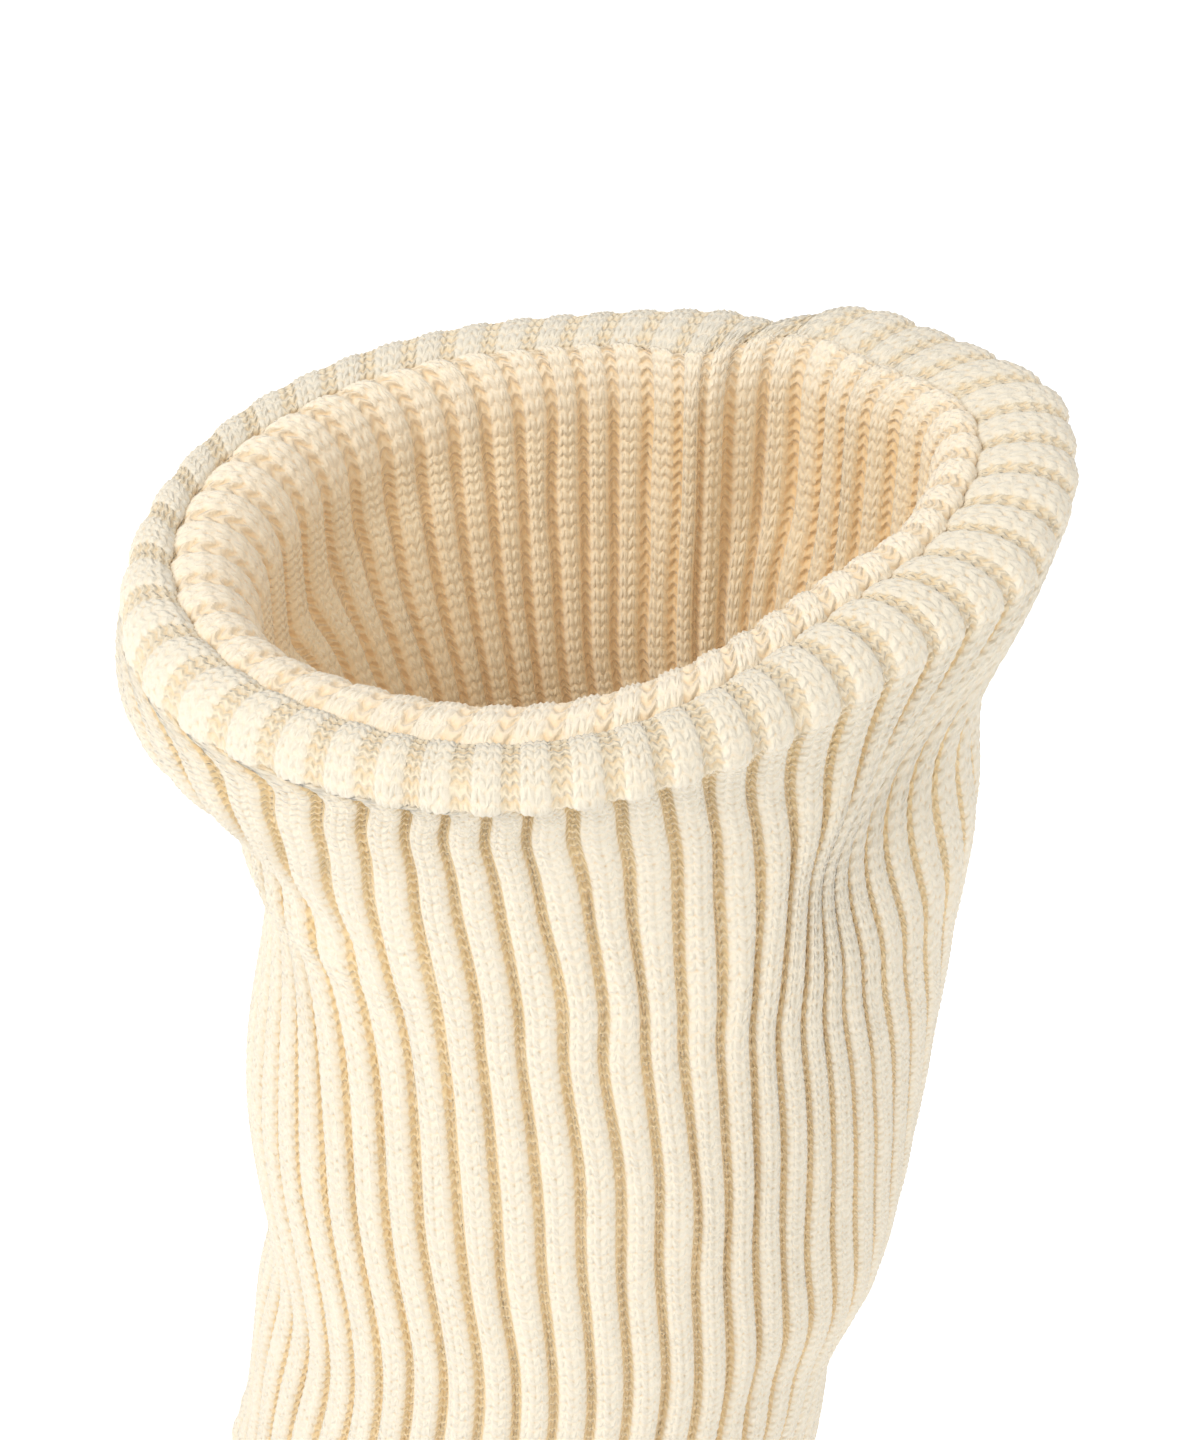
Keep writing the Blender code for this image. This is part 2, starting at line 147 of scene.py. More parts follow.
OUTER_FOLDS = (
    Fold("far calf dip", 46.9, -6, 46.9, 8, 6, -5.5),
    Fold("far calf peak", 45.2, -6, 44.8, 10, 6, 2.5),
    Fold("far calf corner", 40.5, -4, 40.5, 8, 6, 1.5),
)
SEAM_FOLDS = (
    Fold("far calf dip", 48.6, -10, 48.2, 12, 8, -4.5),
    Fold("far calf peak", 45.2, -10, 44.8, 12, 5, 0.8),
    Fold("far calf side", 42.6, -10, 42.6, 12, 11, -4.0),
)
INNER_FOLDS = (
    Fold("closed crease", 46.6, 45, 47.2, 100, 3.0, 2.2),
    Fold("beside the crease", 45.2, 45, 46.0, 100, 8, -2.0),
)

# ---- Where ribs slide round the tube: about a rib and a distance below the brim ----------
Slide = namedtuple("Slide", "rib along half_ribs half_along ribs")
OUTER_SLIDES = (
    Slide(19, 4, 5, 9, 1.1),
    Slide(17.5, 38, 4, 18, -0.8),
    Slide(37, 31, 6, 23, -2.8),
    Slide(29.5, 10, 2.5, 16, -0.4),
    Slide(26, 72, 4, 18, 0.4),
    Slide(24.3, 17, 3.2, 13, -0.55),
    Slide(29.8, 33, 2.6, 12, 0.7),
    Slide(28.5, 54, 3, 12, 0.25),
    Slide(31, 100, 3, 22, -0.4),
    Slide(17.2, 48, 1.6, 18, -0.45),
    Slide(37, 85, 5.5, 40, -1.6),
)

# ---- The knit along each layer, by distance below the widest ring of its roll --------
# relief: how deep the grooves between the ribs are
# share: how much of a rib's pitch its two knit stitches take
# tuck: how far the cloth is drawn in under the roll
Knit = namedtuple("Knit", "along relief share tuck")
FRONT_KNIT = (
    Knit(-12, 0.40, 0.55, 0.0),
    Knit(-6, 0.65, 0.56, 0.0),
    Knit(-0.5, 0.85, 0.57, 0.0),
    Knit(3, 1.20, 0.64, 1.3),
    Knit(8, 1.40, 0.68, 1.2),
    Knit(18, 1.50, 0.69, 0.2),
    Knit(30, 1.50, 0.69, 0.0),
)
CALF_KNIT = (
    Knit(-12, 0.60, 0.58, 0.0),
    Knit(-6, 0.90, 0.60, 0.0),
    Knit(0, 1.20, 0.66, 0.0),
    Knit(10, 1.30, 0.68, 0.0),
    Knit(30, 0.90, 0.69, 0.0),
    Knit(80, 1.10, 0.69, 0.0),
)
BACK_KNIT = (
    Knit(-12, 0.35, 0.57, 0.0),
    Knit(-6, 0.50, 0.58, 0.0),
    Knit(0, 0.70, 0.60, 0.0),
    Knit(6, 1.00, 0.64, 0.0),
    Knit(14, 1.40, 0.68, 0.0),
    Knit(30, 1.50, 0.69, 0.0),
)
INNER_FRONT_KNIT = (
    Knit(-12, 0.40, 0.56, 0.0),
    Knit(-2, 0.60, 0.57, 0.0),
    Knit(6, 0.90, 0.60, 0.0),
    Knit(20, 1.20, 0.62, 0.0),
)
INNER_BACK_KNIT = (
    Knit(-12, 0.60, 0.58, 0.0),
    Knit(-6, 0.90, 0.60, 0.0),
    Knit(0, 1.30, 0.60, 0.0),
    Knit(8, 1.50, 0.62, 0.0),
)
FRONT_RIB = 23.8                # the front table holds about this rib
FRONT_HALF = 6.2                # and this many ribs to each side
CALF_RIB = 36.5                 # the calf table about this one
CALF_HALF = 7.0

# ---- One rib across: canonical place and height of its section ------------------------
# The knit stitches fill the places from -0.3 to 0.3, the purl ones the rest.
KNIT_HALF = 0.30
Column = namedtuple("Column", "place height")
COLUMNS = (
    Column(-0.500, 0.00),
    Column(-0.450, 0.00),
    Column(-0.400, 0.04),
    Column(-0.350, 0.26),
    Column(-0.300, 0.58),
    Column(-0.225, 0.86),
    Column(-0.150, 0.96),
    Column(-0.075, 1.00),
    Column(0.000, 0.93),
    Column(0.075, 1.00),
    Column(0.150, 0.96),
    Column(0.225, 0.86),
    Column(0.300, 0.58),
    Column(0.350, 0.26),
    Column(0.400, 0.04),
    Column(0.450, 0.00),
)
KNIT_EDGE = 0.01                # past KNIT_HALF, so that the last column is knit

# ---- Stitches ------------------------------------------------------------------------
KNIT_RAISED = 0.26              # how far a knit stitch's yarn stands out of the cloth
KNIT_MIDDLE = 0.3               # the height between its top and its hollow that stays put
PURL_RAISED = 0.42              # the same two for a purl stitch
PURL_MIDDLE = 0.4
V_SLANT = 0.50                  # a stitch's two strands fall this share of a course
STRAND_BEAT = 0.65              # a strand rises so much once in a course
STRAND_LEVEL = 0.25             # above this height
DIMPLE = 0.45                   # depth of the hollow between two stitches
OUTER_PURL = (2, 0.30)          # arcs across a groove, and how far they rise: a share of one
INNER_PURL = (1, 0.42)

Layer = namedtuple("Layer", "front calf back slides course purl")
OUTER = Layer(FRONT_KNIT, CALF_KNIT, BACK_KNIT, OUTER_SLIDES, OUTER_COURSE, OUTER_PURL)
INNER = Layer(INNER_FRONT_KNIT, INNER_FRONT_KNIT, INNER_BACK_KNIT, (), INNER_COURSE, INNER_PURL)

# ---- How the knit wavers: the step along a rib at which it changes, and how far -----------
Waver = namedtuple("Waver", "seed step size")
RIB_WAVER = Waver(1, 14.0, 0.03)            # of ribs sideways, in ribs
STILL = Waver(1, 14.0, 0.0)
COURSE_WAVER = Waver(4, 4.0, 0.13)          # of rows of stitches, in rows
RELIEF_WAVER = Waver(3, 9.0, 0.07)          # of the depth of grooves, as a share
RELIEF_LIMIT = 2                            # random numbers beyond this are cut to it
EDGE_SEED = 50                              # added to the seed for the edges between ribs
NOISE_LENGTH = 400                          # random numbers drawn to a rib
NOISE_START = 20                            # the one at the brim

# ---- Colours -------------------------------------------------------------------------
CREAM = (0.93, 0.84, 0.675)
# painted shade in the grooves, on the purl stitches
GROOVE_SHADE_CREAM = (0.93, 0.69, 0.35)
# painted shade inside the tube: the inner layer's yarn darkens to this colour down from its seam
INNER_SHADE_CREAM = (0.93, 0.79, 0.56)
# painted shade in the inner layer's grooves
INNER_GROOVE_SHADE_CREAM = (0.82, 0.57, 0.28)
# painted shade: the gold that fills the hollows between strands and stitches
GROOVE_SHADE_GOLD = (0.82, 0.55, 0.24)
GLOW = (1.0, 0.72, 0.42)        # painted light: the colour of an emission that stands for the light that comes through the cloth
INNER_GLOW = 0.13               # and its strength on the inner layer
PALE = (0.93, 0.88, 0.76)
FLOOR_WHITE = (0.95, 0.95, 0.95)

# ---- The yarn in the material. Noises have scales to the metre -------------------------
Noise = namedtuple("Noise", "scale detail roughness")
BLUR = Noise(700, 2, 0.6)       # moves the edges of stitches
BLUR_COURSES = 0.4              # this far along a rib
BLUR_WALES = 0.2                # and across it
UNEVEN = Noise(420, 2, 0.6)     # makes some holes between stitches deeper, and darker with painted shade
FIBRE = Noise(1900, 4, 0.75)
FIBRE_COVER = 1.1               # how much it frays the edge of the painted shade
FIBRE_BUMP = 0.7                # and the bump
MOTTLE = Noise(160, 3, 0.6)     # paler patches
MOTTLE_FROM = 0.35
MOTTLE_SHARE = 0.3
PLAIN_WALES = 8                 # of plain knit, to a rib
WALES_PAST = 41                 # added to a wale's number, so that none is negative
STRAND_FILL = 1.6               # how fully two strands fill their wale
SHADE_FULL_BELOW = -0.75              # painted shade: golden under this height, in the knit's hollows
SHADE_GONE_ABOVE = 0.6                  # and cream over this one
BUMP_STRENGTH = 0.9
BUMP_DEPTH = 0.0005

# ---- Studio, in metres of the row frame ------------------------------------------------
Light = namedtuple("Light", "name place size power colour")
LIGHTS = (
    Light("key", (-0.85, -0.60, 1.30), 1.0, 13.0, (1, 0.995, 0.98)),
    Light("fill", (0.9, -0.9, 0.8), 0.9, 2.5, (1, 0.98, 0.95)),
)
LIT_POINT = (0.06, 0, 0.25)
WORLD_STRENGTH = 0.72
FLOOR_HALF = 3.0
FLOOR_LEVEL = -0.0003
FLOOR_GLOW = 0.40
CAMERA_PLACE = (1.84, -262.6, 460.45)       # in millimetres of the loft, as its tables are
CAMERA_TILT = 54
CAMERA_LENS = 62.5


def rings_between(places):
    """Rings at these places in SOCK_RINGS, on a smooth curve through its rows."""
    rows = np.array([row[1:] for row in SOCK_RINGS], float)
    found = []
    for place in places:
        low = min(int(place), len(rows) - 2)
        part = place - low
        before = rows[max(low - 1, 0)]
        here, after = rows[low], rows[low + 1]
        beyond = rows[min(low + 2, len(rows) - 1)]
        leave, arrive = (after - before) / 2, (beyond - here) / 2
        found.append(
            (2 * part**3 - 3 * part**2 + 1) * here
            + (part**3 - 2 * part**2 + part) * leave
            + (3 * part**2 - 2 * part**3) * after
            + (part**3 - part**2) * arrive
        )
    return [Ring("between", *row) for row in found]


def fold_rise(ribs, drop, folds):
    """How far the folds move the cloth out at these ribs and drops below the mouth."""
    total = np.zeros(np.broadcast(ribs, drop).shape)
    for fold in folds:
        away = np.mod(ribs - fold.rib_1 + RIBS / 2, RIBS) - RIBS / 2
        run = np.array([(fold.rib_2 - fold.rib_1) * RIB_PITCH, fold.drop_2 - fold.drop_1])
        across, along = away * RIB_PITCH, drop - fold.drop_1
        share = np.clip((across * run[0] + along * run[1]) / (run @ run), 0, 1)
        gap = np.hypot(across - share * run[0], along - share * run[1])
        total = total + fold.rise * np.exp(-((gap / fold.half_width) ** 2))
    return total


def ribs_along(curve, across, away, ring):
    """How many ribs lie between the start of a closed curve and each of its points."""
    steps = np.linalg.norm(np.diff(curve, axis=0), axis=1)
    crowd = (
        ring.crowd_calf * across - ring.crowd_near * away
        + ring.crowd_faces * (away**2 - across**2)
    )
    steps *= 1 + crowd[1:]
    return np.concatenate([[0], np.cumsum(steps)]) / steps.sum() * RIBS


def ring_points(ring, ribs, spacing=None):
    """Points of a ring at the given rib numbers, spaced as on another ring if it is given."""
    shin = np.array([ring.shin_x, ring.shin_y, ring.shin_z])
    calf = np.array([ring.calf_x, ring.calf_y, ring.calf_z])
    middle = shin + (calf - shin) * ring.mid
    middle[1] = (ring.near + ring.far) / 2
    half_depth = (ring.far - ring.near) / 2
    angle = np.linspace(0, 2 * math.pi, RING_STEPS + 1)
    across = -np.sin(angle)
    away = np.cos(angle)
    reach = np.where(across[:, None] > 0, calf - middle, middle - shin) * across[:, None]
    slant = (ring.calf_y - ring.shin_y) / 2
    bow = (ring.calf_y + ring.shin_y) / 2 - middle[1]
    curve = middle + np.stack([
        reach[:, 0],
        half_depth * away + slant * across + bow * across**2,
        reach[:, 2] + ring.tip * away,
    ], axis=1)
    along = ribs_along(curve, across, away, ring)
    outward = np.cross(np.gradient(curve, axis=0), np.cross(calf - shin, (0, 1, 0)))
    outward /= np.linalg.norm(outward, axis=1, keepdims=True)
    folds = FOLDS
    if ring in (SEAM, INNER_BRIM):
        folds = FOLDS + SEAM_FOLDS
    elif not spacing:
        folds = FOLDS + OUTER_FOLDS
    rise = fold_rise(along + ring.turn, RIM_HEIGHT - curve[:, 2], folds)
    curve = curve + outward * rise[:, None]
    if spacing:
        along = ribs_along(curve, across, away, spacing)
    wanted = np.mod(ribs - (spacing or ring).turn, RIBS)
    return np.stack([np.interp(wanted, along, curve[:, axis]) for axis in range(3)], axis=1)


def grid_of(rings, ribs, spacing=None):
    """One row of points for each ring. ribs is one row for all of them, or a row for each."""
    ribs = np.broadcast_to(ribs, (len(rings), np.shape(ribs)[-1]))
    return np.array([ring_points(ring, row, spacing) for ring, row in zip(rings, ribs)])


def normals_of(grid):
    """Outward directions on a grid whose rows run down and whose columns close round it."""
    down = np.gradient(grid, axis=0)
    round_tube = np.roll(grid, -1, axis=1) - np.roll(grid, 1, axis=1)
    normal = np.cross(down, round_tube)
    return normal / np.linalg.norm(normal, axis=2, keepdims=True)


def roll(seam, brim, parts):
    """Rings over a roll, at these parts of the way from its seam, up and over, to its brim."""
    rise = ROLL_HEIGHT * math.sin(ROLL_START)
    reach = brim - seam
    rings = []
    for part in parts:
        angle = ROLL_START * (1 - part)
        out = (math.cos(angle) - math.cos(ROLL_START)) / (1 - math.cos(ROLL_START))
        ring = seam + reach * out
        ring[:, 2] = (
            seam[:, 2]
            + ROLL_HEIGHT * math.sin(angle) - rise
            + (reach[:, 2] + rise) * part**2
        )
        rings.append(ring)
    return np.array(rings)


def row_of(name):
    return [ring.name for ring in SOCK_RINGS].index(name)


def laid_on(level, points):
    """The same points with what would be under this level laid flat on it."""
    height = points[..., 2] - level
    eased = (height + SOLE_BLEND) ** 2 / (4 * SOLE_BLEND)
    eased = np.where(height < -SOLE_BLEND, 0, np.where(height > SOLE_BLEND, height, eased))
    return np.concatenate([points[..., :2], level + eased[..., None]], axis=-1)


def places_along(first, last, *stretches):
    """Places in SOCK_RINGS, and how far below the brim each one is.

    Each stretch gives the distance where it ends and the step between its rings."""
    last_row = len(SOCK_RINGS) - 1
    coarse = np.linspace(0, last_row, ROW_PARTS * last_row + 1)
    grid = grid_of(rings_between(coarse), MEASURED_RIBS)
    steps = np.linalg.norm(np.diff(grid, axis=0), axis=2).mean(axis=1)
    along = np.concatenate([[0], np.cumsum(steps)])
    start, end = np.interp([first, last], coarse, along)
    wanted = [np.array([start])]
    for limit, step in stretches:
        here, limit = wanted[-1][-1], min(limit, end)
        wanted.append(np.linspace(here, limit, max(2, round((limit - here) / step) + 1))[1:])
    wanted = np.concatenate(wanted)
    return np.interp(wanted, along, coarse), wanted


def soft_noise(seed, ribs, along, step):
    """Smooth random numbers, one to a rib, that change every step along it."""
    rng = np.random.default_rng(seed)
    values = rng.normal(size=(RIBS, NOISE_LENGTH))
    place = along / step + NOISE_START
    low = np.floor(place).astype(int)
    part = place - low
    part = part * part * (3 - 2 * part)
    rib = np.mod(np.floor(ribs), RIBS).astype(int)
    return values[rib, low] * (1 - part) + values[rib, low + 1] * part


def rib_columns():
    """Canonical rib numbers of every column round the tube, and the section's height there."""
    places = np.array([column.place for column in COLUMNS])
    heights = np.array([column.height for column in COLUMNS])
    ribs = (np.arange(RIBS)[:, None] + 0.5 + places).ravel()
    return ribs, np.tile(heights, RIBS)


def knit_at(layer, ribs, along):
    """The relief, share and tuck at these ribs, in rows at these distances."""
    front = np.exp(-(((ribs - FRONT_RIB) / FRONT_HALF) ** 4))
    calf = np.exp(-(((ribs - CALF_RIB) / CALF_HALF) ** 4)) * (1 - front)
    found = []
    for name in ("relief", "share", "tuck"):
        values = [
            np.interp(along, [row.along for row in table], [getattr(row, name) for row in table])
            for table in (layer.front, layer.calf, layer.back)
        ]
        weights = (front, calf, 1 - front - calf)
        found.append(sum(value[:, None] * weight for value, weight in zip(values, weights)))
    return found


def wavering(waver, ribs, along):
    """Smooth random numbers that also pass smoothly from each rib to the next."""
    rib = np.floor(ribs)
    place = ribs - rib - 0.5
    edge = np.where(place < 0, rib, rib + 1)
    weight = np.abs(place) * 2
    own = soft_noise(waver.seed, ribs, along, waver.step) * (1 - weight)
    shared = soft_noise(waver.seed + EDGE_SEED, edge, along, waver.step) * weight
    return waver.size * (own + shared)


def spread_ribs(ribs, along, layer, waver):
    """Where canonical rib numbers really lie: the knit takes its share, ribs slide and waver."""
    share = knit_at(layer, ribs, along)[1]
    along = along[:, None]
    rib = np.floor(ribs)
    place = ribs - rib - 0.5
    knit = place / KNIT_HALF * share / 2
    purl = share / 2 + (np.abs(place) - KNIT_HALF) / (0.5 - KNIT_HALF) * (0.5 - share / 2)
    place = np.where(np.abs(place) <= KNIT_HALF, knit, np.sign(place) * purl)
    spread = rib + 0.5 + place + wavering(waver, ribs, along)
    for slide in layer.slides:
        across = ((ribs - slide.rib) / slide.half_ribs) ** 2
        down = ((along - slide.along) / slide.half_along) ** 2
        spread = spread + slide.ribs * np.exp(-across - down)
    return spread


def stitch_height(ribs, course, arcs, bow):
    """How far a stitch's yarn stands out from the rib's section, or dips under it."""
    place = np.mod(ribs, 1) - 0.5
    wale = place / (KNIT_HALF / 2)
    side = np.abs(np.mod(wale, 2) - 1)          # 0 in the middle of a wale, 1 between two
    strand = 1 - np.abs(2 * side - 1)
    beat = 0.5 + 0.5 * np.cos(2 * math.pi * (course + V_SLANT * side))
    knit = strand * (STRAND_BEAT * beat + STRAND_LEVEL)
    knit = knit - (1 - strand) * (1 - beat) ** 2 * DIMPLE
    across = (0.5 - np.abs(place)) / (0.5 - KNIT_HALF)
    arc = 0.5 + 0.5 * np.cos(math.pi * (across * arcs + arcs - 1))
    purl = 0.5 + 0.5 * np.cos(2 * math.pi * (course + bow * arc))
    knit, purl = KNIT_RAISED * (knit - KNIT_MIDDLE), PURL_RAISED * (purl - PURL_MIDDLE)
    return np.where(np.abs(place) < KNIT_HALF + KNIT_EDGE, knit, purl)


def numbered(grid, start):
    rows, columns = grid.shape[:2]
    first = list(range(start, start + columns))
    return first, [point + (rows - 1) * columns for point in first]


def zip_rings(first, first_ribs, second, second_ribs):
    """Triangles between two closed rings of points, which may differ in number."""
    faces = []
    i = j = 0
    while i < len(first) or j < len(second):
        next_i = first_ribs[i + 1] if i + 1 < len(first) else RIBS + first_ribs[0]
        next_j = second_ribs[j + 1] if j + 1 < len(second) else RIBS + second_ribs[0]
        here, there = first[i % len(first)], second[j % len(second)]
        if j >= len(second) or (i < len(first) and next_i <= next_j):
            faces.append((here, there, first[(i + 1) % len(first)]))
            i += 1
        else:
            faces.append((here, there, second[(j + 1) % len(second)]))
            j += 1
    return np.array(faces)


def quads(rows, columns, start):
    here = start + np.arange(rows - 1)[:, None] * columns + np.arange(columns)
    beside = start + np.arange(rows - 1)[:, None] * columns + (np.arange(columns) + 1) % columns
    return np.stack([here, here + columns, beside + columns, beside], axis=2).reshape(-1, 4)


def fan(ring, tip):
    return np.array([(b, a, tip) for a, b in zip(ring, ring[1:] + ring[:1])])


Side = namedtuple("Side", "grid ribs courses normals")


def add_wall(name, outside, inside, tips=()):
    """A closed wall between two sides. tips close their last rings, if given."""
    start = outside.grid.shape[0] * outside.grid.shape[1]
    points = np.concatenate([side.grid.reshape(-1, 3) for side in (outside, inside)])
    knit = np.concatenate([
        np.stack(np.broadcast_arrays(side.ribs, side.courses), axis=2).reshape(-1, 2)
        for side in (outside, inside)
    ])
    normals = [side.normals.reshape(-1, 3) for side in (outside, inside)]
    first_out, last_out = numbered(outside.grid, 0)
    first_in, last_in = numbered(inside.grid, start)
    outward = [quads(*outside.grid.shape[:2], 0)]
    inward = [quads(*inside.grid.shape[:2], start)]
    inward.append(zip_rings(first_out, outside.ribs, first_in, inside.ribs))
    if tips:
        outward.append(fan(last_out, len(points)))
        inward.append(fan(last_in, len(points) + 1))
        points = np.concatenate([points, tips])
        knit = np.concatenate([knit, [knit[start - 1], knit[-1]]])
        normals.append([(-1, 0, 0), (1, 0, 0)])
    else:
        outward.append(zip_rings(last_out, outside.ribs, last_in, inside.ribs))
    faces = outward + [part[:, ::-1] for part in inward]
    return add_mesh(name, points, faces, knit, np.concatenate(normals))


def add_mesh(name, points, faces, knit, normals):
    """A smooth mesh at its place in the row frame, with rib and course numbers as its UVs."""
    corners = np.concatenate([part.ravel() for part in faces])
    sizes = np.concatenate([np.full(len(part), part.shape[1]) for part in faces])
    starts = np.concatenate([[0], np.cumsum(sizes)[:-1]])
    mesh = bpy.data.meshes.new(name)
    mesh.vertices.add(len(points))
    mesh.vertices.foreach_set("co", ((points + PLACE) * MM).astype(np.float32).ravel())
    mesh.loops.add(len(corners))
    mesh.loops.foreach_set("vertex_index", corners.astype(np.int32))
    mesh.polygons.add(len(sizes))
    mesh.polygons.foreach_set("loop_start", starts.astype(np.int32))
    mesh.polygons.foreach_set("use_smooth", np.ones(len(sizes), bool))
    mesh.update(calc_edges=True)
    mesh.validate()
    uv = knit[corners].astype(np.float32)
    face = np.repeat(np.arange(len(sizes)), sizes)
    highest = np.maximum.reduceat(uv[:, 0], starts)[face]
    uv[:, 0] += np.where(highest - uv[:, 0] > RIBS / 2, RIBS, 0)
    layer = mesh.uv_layers.new(name="knit")
    layer.data.foreach_set("uv", uv.ravel())
    if normals is not None:
        mesh.normals_split_custom_set_from_vertices(np.asarray(normals, np.float32))
    obj = bpy.data.objects.new(name, mesh)
    bpy.context.scene.collection.objects.link(obj)
    return obj


def knitted(grid, out, ribs, along, side, section, layer):
    """Stitches raised on a smooth grid: its points, and their course numbers."""
    relief, _, tuck = knit_at(layer, ribs, along)
    along = along[:, None]
    courses = along / layer.course + wavering(COURSE_WAVER, ribs, along)
    change = soft_noise(RELIEF_WAVER.seed, ribs, along, RELIEF_WAVER.step)
    uneven = 1 + RELIEF_WAVER.size * np.clip(change, -RELIEF_LIMIT, RELIEF_LIMIT)
    height = relief * uneven * (section - 1) - tuck
    raised = stitch_height(ribs, courses, *layer.purl)
    return grid + out * (side * (height + raised))[..., None], courses


def with_roll(rings_grid, ribs, along, step):
    """The grid with the rings of a roll before it, and the distances of all its rings."""
    seam = ring_points(SEAM, ribs)
    outward = rings_grid[0] - seam
    outward[:, 2] = 0
    outward /= np.linalg.norm(outward, axis=1, keepdims=True)
    seam -= outward * ROLLS_PRESS / 2
    parts = np.linspace(0, 1, ROLL_PARTS)
    steps = np.diff(roll(seam, rings_grid[0], parts), axis=0)
    steps = np.linalg.norm(steps, axis=2).mean(axis=1)
    lengths = np.concatenate([[0], np.cumsum(steps)])
    before = np.linspace(0, lengths[-1], round(lengths[-1] / step) + 1)[:-1]
    rolled = roll(seam, rings_grid[0], np.interp(before, lengths, parts))
    before -= lengths[-1]
    return np.concatenate([rolled, rings_grid]), np.concatenate([before, along])


def pressed(along):
    """The share of its thickness that the knit keeps at each ring, from the seam on."""
    return np.interp(along, [-ROLL_LENGTH, 0], [SEAM_PRESS, 1])[:, None, None]


def outer_side(ribs, waver, *stretches):
    """The outer layer's smooth grid, its directions and distances, seam to ankle."""
    places, along = places_along(0, row_of("ankle"), *stretches)
    spread = spread_ribs(ribs, along, OUTER, waver)
    grid = grid_of(rings_between(places), spread)
    grid, along = with_roll(grid, spread[0], along, stretches[0][1])
    return grid, normals_of(grid), along


def make_leg():
    """The leg in three pieces, one below another."""
    ribs, section = rib_columns()
    fine = (OUTER_FINE, OUTER_COURSE / ROWS_PER_COURSE)
    grid, out, along = outer_side(ribs, RIB_WAVER, fine, (math.inf, COARSE_STEP))
    face, courses = knitted(grid, out, ribs, along, 1, section, OUTER)
    normals = normals_of(face)
    back, back_out, back_along = outer_side(PLAIN_RIBS, STILL, (math.inf, INSIDE_STEP))
    tuck = knit_at(OUTER, PLAIN_RIBS, back_along)[2][..., None]
    back = back - back_out * (BACK_DEPTH * pressed(back_along) + tuck)
    pieces = []
    names = ("leg_top", "leg_middle", "leg_bottom")
    cuts = np.linspace(0, len(face) - 1, len(names) + 1).round().astype(int)
    back_cuts = np.abs(back_along[:, None] - along[cuts]).argmin(axis=0)
    for number, name in enumerate(names):
        back_rows = slice(back_cuts[number], back_cuts[number + 1] + 1)
        rows = np.arange(cuts[number], cuts[number + 1] + 1)
        rows = np.concatenate([rows[:1], rows, rows[-1:]])      # its ends once more, sunk
        sunk = np.zeros((len(rows), 1, 1))
        sunk[[0, -1]] = CAP_SUNK
        outside = Side(face[rows] - normals[rows] * sunk, ribs, courses[rows], normals[rows])
        inside = Side(
            back[back_rows], PLAIN_RIBS, back_along[back_rows, None] / OUTER_COURSE,
            -back_out[back_rows],
        )
        pieces.append(add_wall(name, outside, inside))
    return pieces


def facing_side(ribs, waver, *stretches):
    """The inner layer's smooth grid, which hangs straight inside the outer one."""
    places, along = places_along(0, row_of("belly"), *stretches)
    spread = spread_ribs(ribs, along, INNER, waver)
    outer = grid_of(rings_between(places), spread, INNER_BRIM)
    normal = normals_of(outer)
    lining = outer - normal * (2 * CLOTH + LAYER_GAP)
    hanging = grid_of([INNER_BRIM] * len(places), spread) + (outer - outer[0]) * (0, 0, 1)
    settled = np.clip((along - FACING_HANGS) / FACING_SETTLES, 0, 1)[:, None, None]
    settled = settled**2 * (3 - 2 * settled)
    grid = hanging + (lining - hanging) * settled
    beyond = np.sum((grid - lining) * normal, axis=2, keepdims=True)
    grid = grid - normal * (beyond + np.hypot(beyond, FACING_EASE)) / 2
    creases = fold_rise(spread, RIM_HEIGHT - grid[..., 2], INNER_FOLDS)
    grid = grid + normal * creases[..., None]
    return with_roll(grid, spread[0], along, stretches[0][1])


def make_facing():
    """The mouth's inner layer. Its knit faces into the tube."""
    ribs, section = rib_columns()
    fine = (INNER_FINE, INNER_COURSE / ROWS_PER_COURSE)
    grid, along = facing_side(ribs, RIB_WAVER, fine, (math.inf, DEEP_STEP))
    out = normals_of(grid)
    face, courses = knitted(grid, out, ribs, along, -1, section, INNER)
    back, back_along = facing_side(PLAIN_RIBS, STILL, (math.inf, INSIDE_STEP))
    back_out = normals_of(back)
    back = back + back_out * CLOTH * pressed(back_along)
    outside = Side(back, PLAIN_RIBS, back_along[:, None] / INNER_COURSE, back_out)
    inside = Side(face, ribs, courses, -normals_of(face))
    return add_wall("cuff_facing_knit", outside, inside)


def foot_side(first, last, ribs, step, tip):
    """A stretch of the foot's smooth grid, its directions and distances, with a domed end."""
    places, along = places_along(row_of(first), row_of(last), (math.inf, step))
    grid = grid_of(rings_between(places), ribs)
    if tip is not None:
        end, parts = grid[-1], np.array(CLOSING)
        rings = end + (tip - end) * parts[:, None, None]
        rings[..., 0] = end[:, 0] + (tip - end)[:, 0] * np.sin(parts[:, None] * math.pi / 2)
        reach = np.linalg.norm(tip - end, axis=1).mean()
        grid, along = np.concatenate([grid, rings]), np.append(along, along[-1] + reach * parts)
    return grid, normals_of(grid), along


